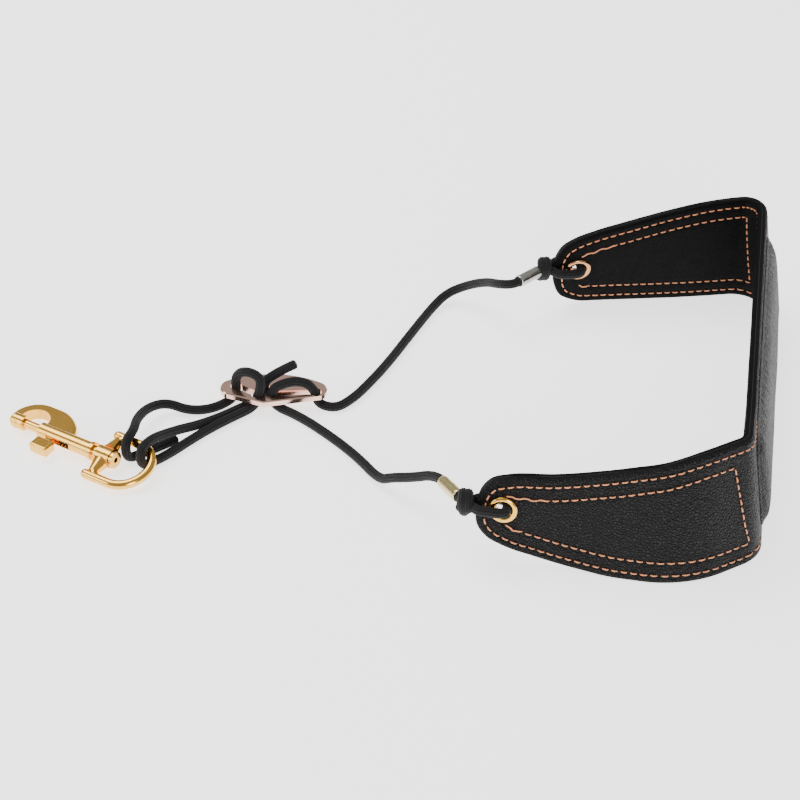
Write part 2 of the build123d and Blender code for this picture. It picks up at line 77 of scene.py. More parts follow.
class BandSettings(bpy.types.PropertyGroup):
    """Leather band: sizes and colours."""
    height: a_length("Height", "Height of the band at its bends", 0.056)
    leather: a_length("Leather", "Thickness of each leather layer", 0.0021)
    seam_inset: a_length("Seam inset", "From the cut edge to the outer seam", 0.0036)
    panel_inset: a_length("Panel inset", "From the cut edge to the panel seam", 0.0094)
    stitch: a_length("Stitch", "Length of a stitch", 0.0028)
    stitch_gap: a_length("Stitch gap", "Leather between two stitches", 0.0009)
    thread: a_length("Thread", "Diameter of the thread", 0.00064)
    grain: a_length("Grain", "Size of a pebble of the grain", 0.00125)
    skin_colour: a_colour("Skin colour", "Outer leather", (0.0036, 0.0036, 0.0038))
    lining_colour: a_colour("Lining colour", "Inner leather", (0.0016, 0.0016, 0.0017))
    edge_colour: a_colour("Edge colour", "Cut edge of the leather", (0.007, 0.0068, 0.0075))
    thread_colour: a_colour("Thread colour", "Sewing thread", (0.78, 0.25, 0.075))


class CordSettings(bpy.types.PropertyGroup):
    """Cord: size, ribs and colour."""
    diameter: a_length("Diameter", "Cord's diameter", 0.0041)
    ribs: IntProperty(name="Ribs", description="Ribs round the cord", default=11, min=4, max=24)
    rib_depth: a_length("Rib depth", "Depth of the grooves between ribs", 0.00024)
    colour: a_colour("Colour", "Cord's yarn", (0.0080, 0.0078, 0.0084))


class MetalSettings(bpy.types.PropertyGroup):
    """Plated metal: colours and polish."""
    gold: a_colour("Gold", "Hook, ring and near eyelet", (0.88, 0.50, 0.095))
    # a darker, browner gold than the near eyelet's
    old_gold: a_colour("Far eyelet gold", "Far eyelet", (0.62, 0.33, 0.15))
    pale_gold: a_colour("Pale gold", "Near ferrule", (0.70, 0.58, 0.28))
    silver: a_colour("Silver", "Far ferrule", (0.50, 0.50, 0.46))
    rose_gold: a_colour("Rose gold", "Slider plate", (0.86, 0.56, 0.45))
    polish: FloatProperty(
        name="Polish", description="Roughness of the plating", default=0.13, min=0.0, max=1.0, subtype="FACTOR")


class StageSettings(bpy.types.PropertyGroup):
    """Stage: camera and lights."""
    azimuth: an_angle("Azimuth", "Camera's turn round the strap", 9.0)
    elevation: an_angle("Elevation", "Camera's height over the horizon", 38.0)
    distance: a_length("Distance", "Camera to its target", 0.933)
    lens: FloatProperty(name="Lens", description="Focal length in millimetres", default=101.25, min=10.0)
    key: FloatProperty(name="Key light", description="Power in watts", default=15.0, min=0.0)
    fill: FloatProperty(name="Fill light", description="Power in watts", default=8.0, min=0.0)


# ------------------------------------------------------------------ shaders


class Value:
    """A socket that ordinary arithmetic can be written with."""

    def __init__(self, finish, socket):
        self.finish, self.socket = finish, socket

    def __add__(self, other):
        return self.finish.math("ADD", self, other)

    def __sub__(self, other):
        return self.finish.math("SUBTRACT", self, other)

    def __rsub__(self, other):
        return self.finish.math("SUBTRACT", other, self)

    def __mul__(self, other):
        return self.finish.math("MULTIPLY", self, other)

    def __truediv__(self, other):
        return self.finish.math("DIVIDE", self, other)

    __radd__ = __add__
    __rmul__ = __mul__


class Finish:
    """One material's nodes."""

    def __init__(self, name):
        self.material = bpy.data.materials.new(name)
        self.material.use_nodes = True
        self.tree = self.material.node_tree
        self.tree.nodes.clear()

    def node(self, kind, settings=None, sockets=None, output=0):
        made = self.tree.nodes.new(kind)
        for key, value in (settings or {}).items():
            if key == "stops":
                self.stops(made.color_ramp, value)
            else:
                setattr(made, key, value)
        for key, value in (sockets or {}).items():
            if isinstance(value, Value):
                self.tree.links.new(value.socket, made.inputs[key])
            else:
                made.inputs[key].default_value = value
        return Value(self, made.outputs[output])

    def stops(self, ramp, stops):
        while len(ramp.elements) < len(stops):
            ramp.elements.new(0.5)
        for element, (place, level) in zip(ramp.elements, stops):
            element.position = place
            element.color = (level, level, level, 1)

    def math(self, operation, *values):
        return self.node("ShaderNodeMath", {"operation": operation}, dict(enumerate(values)))

    def mix(self, factor, first, second):
        colours = [c if isinstance(c, Value) else (*c, 1) for c in (first, second)]
        return self.node("ShaderNodeMix", {"data_type": "RGBA"}, {0: factor, 6: colours[0], 7: colours[1]}, 2)

    def place(self):
        return self.node("ShaderNodeTexCoord", output=3)

    def ramp(self, value, stops):
        return self.node("ShaderNodeValToRGB", {"stops": stops}, {0: value})

    def noise(self, size, detail=2.0, rough=0.5):
        sockets = {"Vector": self.place(), "Scale": 1 / size, "Detail": detail, "Roughness": rough}
        return self.node("ShaderNodeTexNoise", {}, sockets)

    def creases(self, size):
        """Distance to the nearest crease of a net of cells."""
        sockets = {"Vector": self.place(), "Scale": 1 / size}
        return self.node("ShaderNodeTexVoronoi", {"feature": "DISTANCE_TO_EDGE"}, sockets)

    def painted(self, name, output=2):
        return self.node("ShaderNodeAttribute", {"attribute_name": name}, output=output)

    def bump(self, height, depth):
        return self.node("ShaderNodeBump", {}, {"Height": height, "Distance": depth, "Strength": 1.0})

    def surface(self, sockets):
        shader = self.node("ShaderNodeBsdfPrincipled", {}, sockets)
        end = self.tree.nodes.new("ShaderNodeOutputMaterial")
        self.tree.links.new(shader.socket, end.inputs["Surface"])
        return self.material


def leather(name, colour, edge_colour, grain, depth, rough, gloss):
    """Pebbled leather, with a plain fibrous look where it is cut."""
    f = Finish(name)
    raw = f.painted("cut_edge")
    crease = f.ramp(f.creases(grain), [(0.0, 0.0), (0.10, 0.55), (0.32, 1.0)])
    each = f.noise(grain * 0.8, 1.0)
    pebble = crease * (0.55 + each * 0.9)
    fine = f.noise(grain * 0.2, 3.0)
    broad = f.noise(0.022, 2.0)
    skin = crease * 0.8 + pebble * 0.3 + fine * 0.10
    fibres = f.noise(0.0005, 4.0, 0.7)
    height = skin * (1 - raw) + fibres * raw
    # Painted shade and highlight: the colour darkens in the creases between pebbles and lightens on their tops,
    # each pebble with its own random brightness as painted glints, plus broad random tone.
    painted_shade_glints_and_tone = f.ramp(pebble * 0.85 + broad * 0.3, [(0.25, 0.0), (1.05, 1.0)])
    face = f.mix(painted_shade_glints_and_tone, [c * 0.25 for c in colour], [c * 1.9 for c in colour])
    edge = f.mix(fibres, [c * 0.5 for c in edge_colour], [c * 1.5 for c in edge_colour])
    wear = f.ramp(f.noise(0.006, 4.0, 0.7) * (1 - raw), [(0.62, 0.0), (0.85, 1.0)])
    return f.surface({
        "Base Color": f.mix(raw, f.mix(wear * 0.35, face, [c * 2.6 for c in colour]), edge),
        "Roughness": (rough + 0.10 + broad * 0.12 - pebble * 0.16) * (1 - raw) + raw * 0.85,
        "Specular IOR Level": gloss,
        "Normal": f.bump(height, depth),
    })


def thread_finish(name, colour):
    f = Finish(name)
    along = f.painted("run")
    twist = f.math("SINE", along * (2 * math.pi / 0.75)) * 0.5 + 0.5
    tone = f.noise(0.004, 2.0)
    # Painted shade and highlight: the colour darkens in the grooves of the twist and pales on its crests,
    # following the bump, mixed with random tone.
    dark, pale = [c * 0.55 for c in colour], [min(1.0, c * 1.25 + 0.08) for c in colour]
    return f.surface({
        "Base Color": f.mix(twist * 0.45 + tone * 0.55, dark, pale),
        "Roughness": 0.42 + tone * 0.2,
        "Sheen Weight": 0.25,
        "Normal": f.bump(twist, 0.00008),
    })


def yarn(name, colour):
    """Ribbed elastic braid: chevrons of fine yarn on each rib."""
    f = Finish(name)
    along, round_ = f.painted("run"), f.painted("turn")
    rib = f.math("PINGPONG", round_, 0.5) * 2
    chevron = f.math("SINE", (along / 0.62 + rib * 0.55) * (2 * math.pi)) * 0.5 + 0.5
    fuzz = f.noise(0.00035, 3.0, 0.65)
    # Painted shade: the colour darkens into the grooves between ribs, and the chevrons along each rib are
    # painted lighter on their crests, following the bump; fuzz adds random tone.
    groove = f.ramp(rib, [(0.0, 0.25), (0.45, 1.0)])
    level = groove * (0.45 + chevron * 0.35 + fuzz * 0.4)
    return f.surface({
        "Base Color": f.mix(level, [c * 0.35 for c in colour], [c * 1.55 for c in colour]),
        "Roughness": 0.72 + fuzz * 0.2,
        "Sheen Weight": 0.12,
        "Sheen Roughness": 0.5,
        "Specular IOR Level": 0.18,
        "Normal": f.bump(chevron * 0.6 + fuzz * 0.4, 0.00010),
    })


def plating(name, colour, polish):
    """Polished plating: faint waves from the buffing wheel, hairlines and a little tarnish."""
    f = Finish(name)
    cloud = f.noise(0.006, 3.0)
    hair = f.noise(0.0006, 5.0, 0.7)
    tarnish = f.ramp(f.noise(0.0035, 4.0, 0.65), [(0.5, 0.0), (0.9, 1.0)])
    return f.surface({
        "Base Color": f.mix(tarnish * 0.3, colour, [c * c * 0.7 for c in colour]),
        "Metallic": 1.0,
        "Roughness": polish + cloud * 0.07 + tarnish * 0.08,
        "Normal": f.bump(cloud * 0.8 + hair * 0.2, 0.000036),
    })


def plain(name, colour, rough):
    f = Finish(name)
    tone = f.noise(0.002, 3.0)
    return f.surface({
        "Base Color": f.mix(tone, [c * 0.7 for c in colour], [c * 1.2 for c in colour]),
        "Roughness": rough + tone * 0.1,
    })


FINISHES = {}


def finish_of(name):
    """Each finish is made once, when a piece first asks for it."""
    scene = bpy.context.scene
    band, cord, metal = scene.strap_band, scene.strap_cord, scene.strap_metal
    skin, lining, edge = band.skin_colour, band.lining_colour, band.edge_colour
    makers = {
        "pebbled leather": lambda n: leather(n, skin, edge, band.grain, 0.00060, 0.40, 0.17),
        "lining leather": lambda n: leather(n, lining, edge, band.grain * 0.7, 0.00016, 0.60, 0.08),
        "thread": lambda n: thread_finish(n, band.thread_colour),
        "braid": lambda n: yarn(n, cord.colour),
        "gold": lambda n: plating(n, metal.gold, metal.polish),
        "old gold": lambda n: plating(n, metal.old_gold, metal.polish + 0.04),
        "pale gold": lambda n: plating(n, metal.pale_gold, metal.polish + 0.06),
        "silver": lambda n: plating(n, metal.silver, metal.polish + 0.08),
        "rose gold": lambda n: plating(n, metal.rose_gold, metal.polish),
        "spring steel": lambda n: plating(n, (0.6, 0.6, 0.6), 0.25),
        "bonding film": lambda n: plain(n, (0.006, 0.006, 0.006), 0.7),
    }
    if name not in FINISHES:
        FINISHES[name] = makers[name](name)
    return FINISHES[name]


# ------------------------------------------------------------------ mesh helpers


def piece(name, points, faces, finish, **paint):
    """A mesh object in metres from points in millimetres, with painted values on its points."""
    mesh = bpy.data.meshes.new(name)
    mesh.from_pydata([tuple(c * MM for c in p) for p in points], [], faces)
    mesh.validate()
    for key, values in paint.items():
        layer = mesh.attributes.new(key, "FLOAT", "POINT")
        layer.data.foreach_set("value", np.asarray(values, dtype=np.float32))
    mesh.shade_smooth()
    mesh.materials.append(finish_of(finish))
    made = bpy.data.objects.new(name, mesh)
    bpy.context.scene.collection.objects.link(made)
    return made


def ring_faces(rings, around):
    """Quads between rings of points."""
    faces = []
    for i in range(rings - 1):
        for j in range(around):
            k = (j + 1) % around
            faces.append((i * around + j, i * around + k, (i + 1) * around + k, (i + 1) * around + j))
    return faces


def smooth_line(route, spacing):
    """Evenly spaced points, in millimetres, on the smooth line that a route controls."""
    data = bpy.data.curves.new("line", "CURVE")
    data.dimensions = "3D"
    data.resolution_u = 16
    spline = data.splines.new("NURBS")
    spline.points.add(len(route) - 1)
    for point, place in zip(spline.points, route):
        point.co = (*place, 1)
    spline.order_u = 3
    spline.use_endpoint_u = True
    holder = bpy.data.objects.new("line", data)
    mesh = bpy.data.meshes.new_from_object(holder)
    line = np.array([v.co[:] for v in mesh.vertices])
    bpy.data.objects.remove(holder)
    bpy.data.meshes.remove(mesh)
    bpy.data.curves.remove(data)
    return even(line, spacing)


def even(line, spacing):
    """The same line with points at an even spacing."""
    steps = np.linalg.norm(np.diff(line, axis=0), axis=1)
    travel = np.concatenate([[0], np.cumsum(steps)])
    count = max(4, int(round(travel[-1] / spacing)) + 1)
    at = np.linspace(0, travel[-1], count)
    return np.stack([np.interp(at, travel, line[:, k]) for k in range(line.shape[1])], axis=1)


def turning_frames(line):
    """Tangent and two sideways directions at each point, without twist."""
    tangents = np.gradient(line, axis=0)
    tangents /= np.linalg.norm(tangents, axis=1)[:, None]
    side = np.cross(tangents[0], (0.0, 0.3, 1.0))
    side /= np.linalg.norm(side)
    sides = []
    for tangent in tangents:
        side = side - tangent * side.dot(tangent)
        side /= np.linalg.norm(side)
        sides.append(side)
    sides = np.array(sides)
    return tangents, sides, np.cross(tangents, sides)


def cord_mesh(name, line, ends=(True, True)):
    """A ribbed tube of cord round a line in millimetres."""
    cord = bpy.context.scene.strap_cord
    radius, depth, ribs = cord.diameter / MM / 2, cord.rib_depth / MM, cord.ribs
    around = ribs * 6
    tangents, sides, ups = turning_frames(line)
    angles = np.linspace(0, 2 * math.pi, around, endpoint=False)
    rib = np.abs(np.sin(angles * ribs / 2)) ** 0.7
    reach = radius - depth + depth * rib
    points, run, turn = [], [], []
    travel = 0.0
    scale = np.ones(len(line))
    for end, rounded in ((0, ends[0]), (-1, ends[1])):
        if rounded:
            scale[end] = 0.55
            scale[1 if end == 0 else -2] = 0.93
    for i, centre in enumerate(line):
        travel += 0 if i == 0 else np.linalg.norm(line[i] - line[i - 1])
        rings = centre + scale[i] * (
            np.outer(np.cos(angles) * reach, sides[i]) + np.outer(np.sin(angles) * reach, ups[i]))
        points.extend(rings.tolist())
        run.extend([travel] * around)
        turn.extend((angles / (2 * math.pi) * ribs).tolist())
    faces = ring_faces(len(line), around)
    faces.append(tuple(reversed(range(around))))
    last = (len(line) - 1) * around
    faces.append(tuple(range(last, last + around)))
    return piece(name, points, faces, "braid", run=run, turn=turn)


def lathe(name, profile, place, finish, steps=48):
    """A closed profile of (radius, height) turned round a place's z axis."""
    points = []
    for k in range(steps):
        a = 2 * math.pi * k / steps
        for radius, height in profile:
            points.append(tuple(place @ Vector((radius * math.cos(a), radius * math.sin(a), height))))
    around = len(profile)
    faces = []
    for k in range(steps):
        n = (k + 1) % steps
        for j in range(around):
            m = (j + 1) % around
            faces.append((k * around + j, k * around + m, n * around + m, n * around + j))
    return piece(name, points, faces, finish)


# ------------------------------------------------------------------ the band as a bent sheet

NEAR_TIP, NEAR_KNEE, NEAR_CORNER = Vector((44.5, -92.6)), Vector((125.8, -95.9)), Vector((150.0, -77.2))
FAR_CORNER, FAR_TIP = Vector((150.0, 100.3)), Vector((57.5, 73.9))
BENDS = (42.0, 10.0, 11.0)
LEAN = 8.0
NEAR_HEIGHT, FAR_HEIGHT = 24.5, 22.5
NEAR_UPPER = [(0, 24), (1.4, 31), (5.5, 36.2), (12, 38.6), (30, 41.2), (50, 45.8), (70, 51.4), (92, 56)]
NEAR_LOWER = [(0.9, 16), (4.5, 11.4), (11.5, 8), (24, 5), (40, 2), (58, 0)]
FAR_UPPER = [
    (0, 20), (0.8, 29), (3.5, 34.5), (8.5, 38.2), (17, 41.8), (32, 46.3), (50, 51.3), (66, 54.6), (84, 56),
]
FAR_LOWER = [(0.9, 12), (3.5, 7), (8.5, 3.9), (16, 1.8), (32, 0)]
NECK_TOP, NECK_BOTTOM = 53.0, 2.5
# from a tip to its eyelet's middle, and the hole's radius in the leather
EYELET_IN, EYELET_HOLE = 10.8, 4.2
# from the band's middle to the inner face of a leather layer
GLUE = 0.16


def arm_edges(upper, lower):
    """Lower and upper edge of an arm in its side view, each from the tip onwards."""
    corners = np.array([*reversed(lower), *upper], float)
    travel = np.concatenate([[0], np.cumsum(np.linalg.norm(np.diff(corners, axis=0), axis=1))])
    slopes = np.gradient(corners, travel, axis=0)
    slopes[0], slopes[-1] = (-1, 0), (1, 0)
    fine = []
    for k in range(len(corners) - 1):
        t = np.linspace(0, 1, 24, endpoint=False)[:, None]
        run = travel[k + 1] - travel[k]
        fine.append((2 * t**3 - 3 * t**2 + 1) * corners[k] + (t**3 - 2 * t**2 + t) * run * slopes[k]
                    + (3 * t**2 - 2 * t**3) * corners[k + 1] + (t**3 - t**2) * run * slopes[k + 1])
    line = np.concatenate([*fine, corners[-1:]])
    tip = int(line[:, 0].argmin())
    return line[:tip + 1][::-1], line[tip:]


def soft_step(x, start, end):
    t = np.clip((x - start) / (end - start), 0, 1)
    return t * t * (3 - 2 * t)


class Sheet:
    """The band unrolled: s along the U from the near tip, z up, d outwards from its middle."""

    def __init__(self, height):
        self.height = height
        corners = [NEAR_TIP, NEAR_KNEE, NEAR_CORNER, FAR_CORNER, FAR_TIP]
        self.edges = {"near": arm_edges(NEAR_UPPER, NEAR_LOWER), "far": arm_edges(FAR_UPPER, FAR_LOWER)}
        ways = [(b - a).normalized() for a, b in zip(corners, corners[1:])]
        self.ways = ways
        self.parts = []
        start = corners[0]
        for k, (corner, radius) in enumerate(zip(corners[1:], BENDS)):
            turn = math.acos(ways[k].dot(ways[k + 1]))
            back = radius * math.tan(turn / 2)
            end = corner - ways[k] * back
            self.parts.append(("line", start, ways[k], (end - start).length, None))
            centre = end + Vector((-ways[k].y, ways[k].x)) * radius
            self.parts.append(("arc", centre, ways[k], radius * turn, radius))
            start = corner + ways[k + 1] * back
        self.parts.append(("line", start, ways[-1], (corners[-1] - start).length, None))
        self.starts = np.concatenate([[0], np.cumsum([p[3] for p in self.parts])])
        self.length = self.starts[-1]

    def plan(self, s):
        """Point of the middle line and the outward direction."""
        k = int(np.clip(np.searchsorted(self.starts, s, "right") - 1, 0, len(self.parts) - 1))
        kind, origin, way, _, radius = self.parts[k]
        run = s - self.starts[k]
        if kind == "line":
            return origin + way * run, Vector((way.y, -way.x))
        turned = Matrix.Rotation(run / radius, 2) @ Vector((way.y, -way.x))
        return origin + turned * radius, turned

    def reach(self, s):
        """Distance from the nearer tip along its arm, and the place along the neck."""
        point, _ = self.plan(s)
        if point.y < 0:
            return (point - NEAR_TIP).dot(self.ways[0]), point.y
        return (FAR_TIP - point).dot(self.ways[-1]), point.y

    def span(self, s):
        """Lowest and highest z of the band at s."""
        x, y = self.reach(s)
        lower, upper = self.edges["near" if y < 0 else "far"]
        scale = self.height / upper[-1, 1]
        high = float(np.interp(x, upper[:, 0], upper[:, 1])) * scale
        low = float(np.interp(x, lower[:, 0], lower[:, 1])) * scale
        neck = soft_step(y, NEAR_CORNER.y + 2, NEAR_CORNER.y + 28)
        neck *= 1 - soft_step(y, FAR_CORNER.y - 26, FAR_CORNER.y - 6)
        high = min(high, self.height - (self.height - NECK_TOP) * neck)
        low = max(low, NECK_BOTTOM * neck)
        return low, high

    def world(self, s, z, d):
        """Place in the shared frame, in millimetres."""
        point, out = self.plan(s)
        moved = point + out * (LEAN * (0.5 - z / self.height) + d)
        return (moved.x, moved.y, z)

    def axes(self, s):
        """Directions along the band, up its wall and out of it."""
        _, out = self.plan(s)
        along = Vector((-out.y, out.x, 0))
        wall = Vector((-out.x * LEAN, -out.y * LEAN, self.height)).normalized()
        return along, wall, along.cross(wall)


@functools.cache
def unrolled(height):
    return Sheet(height)


def sheet():
    """The strap's unrolled band at its present height."""
    return unrolled(bpy.context.scene.strap_band.height / MM)


def outline(inset):
    """Closed line in the unrolled band, a distance in from its cut edge."""
    band = sheet()
    tip = (1 - np.cos(np.linspace(0, math.pi, 60))) / 2 * 28
    tip = tip[tip <= 14]
    s = np.unique(np.concatenate([tip, np.linspace(14, band.length - 14, 450), band.length - tip]))
    spans = np.array([band.span(v) for v in s])
    low = np.stack([s, spans[:, 0]], axis=1)
    high = np.stack([s, spans[:, 1]], axis=1)[::-1]
    loop = even(np.concatenate([low, high, low[:1]]), 0.8)[:-1]
    if inset:
        step = np.roll(loop, -2, axis=0) - np.roll(loop, 2, axis=0)
        normal = np.stack([-step[:, 1], step[:, 0]], axis=1)
        normal /= np.linalg.norm(normal, axis=1)[:, None]
        loop = loop + normal * inset
    return loop


def distance_to(points, loop, closed=True):
    """Distance from each point to a line, in the unrolled band."""
    a = loop
    b = np.roll(loop, -1, axis=0) if closed else loop[1:]
    a = a if closed else loop[:-1]
    run = b - a
    length2 = (run**2).sum(axis=1) + 1e-9
    best = np.full(len(points), 1e9)
    for chunk in range(0, len(points), 2000):
        p = points[chunk:chunk + 2000, None, :]
        t = np.clip(((p - a) * run).sum(axis=2) / length2, 0, 1)
        gap = p - (a + run * t[..., None])
        best[chunk:chunk + 2000] = np.sqrt((gap**2).sum(axis=2)).min(axis=1)
    return best


def eyelet_centres():
    """Unrolled places of the two eyelets."""
    band = sheet()
    return np.array([(EYELET_IN, NEAR_HEIGHT), (band.length - EYELET_IN, FAR_HEIGHT)])


def panel_seams():
    """The open seam inside each arm: from the eyelet along one edge, across at the bend and back."""
    band = sheet()
    inset = bpy.context.scene.strap_band.panel_inset / MM
    seams = []
    end = band.length
    panels = ((EYELET_IN, NEAR_HEIGHT, 100.5, 107.0), (end - EYELET_IN, FAR_HEIGHT, end - 86.0, end - 90.0))
    for eyelet, height, over, under in panels:
        sign = 1 if over > eyelet else -1
        upper, lower = [], []
        for share in np.linspace(0, 1, 70):
            for side, cross, line in ((1, over, upper), (0, under, lower)):
                s = eyelet + sign * 0.5 + (cross - eyelet) * share
                here, ahead = band.span(s)[side], band.span(s + sign)[side]
                inwards = inset / math.cos(math.atan(ahead - here))
                z = max(here - inwards, height + 6.4) if side else min(here + inwards, height - 6.4)
                line.append((s, z))
        seams.append(even(np.array(upper + lower[::-1]), 0.8))
    return seams


def leather_layer(name, inner, outer, finish, face_out, replaced):
    """One layer of leather with rounded cut edges, dimpled along its seams."""
    band = sheet()
    edge = outline(0)
    tip_steps = (1 - np.cos(np.linspace(0, math.pi / 2, 16))) * 14
    middle_steps = np.arange(14, band.length - 14, 1.15)
    s = np.concatenate([tip_steps[:-1], middle_steps, (band.length - tip_steps)[::-1]])
    s[0], s[-1] = 0.04, band.length - 0.04
    rows = 46
    t = (1 - np.cos(np.linspace(0, math.pi, rows))) / 2 * 0.35 + np.linspace(0, 1, rows) * 0.65
    grid = np.array([(v, low + (high - low) * k) for v in s for low, high in [band.span(v)] for k in t])
    inside = distance_to(grid, edge)
    border = outline(bpy.context.scene.strap_band.seam_inset / MM)
    groove = np.exp(-distance_to(grid, border) ** 2)
    for seam in panel_seams():
        groove = np.maximum(groove, np.exp(-distance_to(grid, seam, False) ** 2))
    near_eyelet = np.min([np.hypot(*(grid - c).T) for c in eyelet_centres()], axis=0)
    rounding = 0.75 * np.clip(1 - inside / 1.1, 0, 1) ** 2
    points, cut = [], []
    for face, d in ((0, inner), (1, outer)):
        shown = (face == 1) == face_out
        for (a, z), r, g, e in zip(grid, rounding, groove, near_eyelet):
            puff = 0.10 * noise.noise((a * 0.06, z * 0.06, face)) if shown else 0
            sink = (0.34 * g + r + 0.35 * math.exp(-(e / 6.2) ** 4)) if shown else 0
            points.append(band.world(a, z, d + (puff - sink) * (1 if face else -1)))
            cut.append(0.35 * r if shown else 0.0)
    faces, n, m = [], len(s), len(t)
    centre = grid.reshape(n, m, 2)
    for i in range(n - 1):
        for j in range(m - 1):
            middle = centre[i:i + 2, j:j + 2].mean(axis=(0, 1))
            if min(np.hypot(*(middle - c)) for c in eyelet_centres()) < EYELET_HOLE:
                continue
            q = (i * m + j, i * m + j + 1, (i + 1) * m + j + 1, (i + 1) * m + j)
            faces.append(tuple(reversed(q)))
            faces.append(tuple(k + n * m for k in q))
    rim = [i * m for i in range(n)] + [(n - 1) * m + j for j in range(1, m)]
    rim += [i * m + m - 1 for i in range(n - 2, -1, -1)] + [j for j in range(m - 2, 0, -1)]
    base = len(points)
    for share in (0.0, 0.33, 0.67, 1.0):
        for k in rim:
            low, high = Vector(points[k]), Vector(points[k + n * m])
            a, z = grid[k]
            fray = 0.10 * noise.noise((a * 0.7, z * 0.7, share * 3 + outer))
            spot = low.lerp(high, share)
            if spot.z > 0.3:
                spot.z += fray * (1 if z > 27 else -1)
            points.append(tuple(spot))
            cut.append(1.0)
    around = len(rim)
    for ring in range(3):
        for j in range(around):
            k = (j + 1) % around
            a, b = base + ring * around, base + (ring + 1) * around
            faces.append((a + j, a + k, b + k, b + j))
    made = piece(name, points, faces, finish, cut_edge=cut)
    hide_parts(replaced)
    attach(made, "strap")
    return made


# a stitch: share of its length, rise over the leather and swell of the thread
STITCH = (
    (0.0, -0.55, 0.45), (0.10, -0.10, 0.85), (0.3, 0.16, 1.0), (0.5, 0.22, 1.05),
    (0.7, 0.16, 1.0), (0.9, -0.10, 0.85), (1.0, -0.55, 0.45),
)


def stitches(name, lines, face):
    """Thread along seams in the unrolled band: each stitch dips into the leather at both ends."""
    band, settings = sheet(), bpy.context.scene.strap_band
    stitch, gap = settings.stitch / MM, settings.stitch_gap / MM
    radius, half = settings.thread / MM / 2, settings.leather / MM + GLUE
    points, faces, run = [], [], []
    count = 0
    for line, doubled in lines:
        steps = np.linalg.norm(np.diff(line, axis=0), axis=1)
        travel = np.concatenate([[0], np.cumsum(steps)])
        at = 0.3
        while at + stitch < travel[-1]:
            count += 1
            wobble = 0.10 * noise.noise((count * 0.9, face, 3.1))
            shift = 0.30 * noise.noise((count * 1.7, face, 7.7))
            crowd = doubled and (at < 13.0 or at > travel[-1] - 9.0)
            length = stitch + shift + (gap * 0.7 if crowd else 0)
            base = len(points)
            for share, rise, wide in STITCH:
                here = at + share * length
                a, z = (float(np.interp(here, travel, line[:, k])) for k in range(2))
                a2, z2 = (float(np.interp(here + 0.2, travel, line[:, k])) for k in range(2))
                d = face * (half + rise * radius * 1.9 - 0.20)
                spot = Vector(band.world(a, z, d))
                ahead = (Vector(band.world(a2, z2, d)) - spot).normalized()
                out = band.axes(a)[2] * face
                side = ahead.cross(out)
                spot += side * (wobble + (0.32 * math.sin(count * 2.1 + share * 3) if crowd else 0))
                for k in range(8):
                    angle = 2 * math.pi * k / 8
                    round_ = side * math.cos(angle) * 1.05 + out * math.sin(angle) * 0.8
                    points.append(tuple(spot + round_ * radius * wide))
                    run.append(here)
            faces.extend(tuple(base + i for i in f) for f in ring_faces(len(STITCH), 8))
            faces.append(tuple(base + i for i in reversed(range(8))))
            faces.append(tuple(base + (len(STITCH) - 1) * 8 + i for i in range(8)))
            at += (stitch + gap) * (0.55 if crowd else 1.0)
    made = piece(name, points, faces, "thread", run=run)
    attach(made, "strap")
    return made


# ------------------------------------------------------------------ operators


class Maker(bpy.types.Operator):
    """Base for the strap's operators."""
    bl_options = {"REGISTER", "UNDO"}

    def execute(self, context):
        self.make(context.scene)
        return {"FINISHED"}


class STRAP_OT_band(Maker):
    """Two leather layers with cut edges"""
    bl_idname = "strap.band"
    bl_label = "Leather band"

    def make(self, scene):
        thick = scene.strap_band.leather / MM
        leather_layer("band_outer_leather", GLUE, GLUE + thick, "pebbled leather", True, "outer_leather")
        leather_layer("band_inner_leather", -GLUE - thick, -GLUE, "lining leather", False, "inner_leather")
        dress("bonding_liner", "bonding film")


class STRAP_OT_seams(Maker):
    """Sewing thread on both faces of the band"""
    bl_idname = "strap.seams"
    bl_label = "Seams"

    def make(self, scene):
        inset = scene.strap_band.seam_inset / MM
        border = outline(inset)
        border = np.concatenate([border, border[:1]])
        lines = [(border, False)] + [(seam, True) for seam in panel_seams()]
        stitches("outer_face_thread", lines, 1)
        stitches("inner_face_thread", lines, -1)


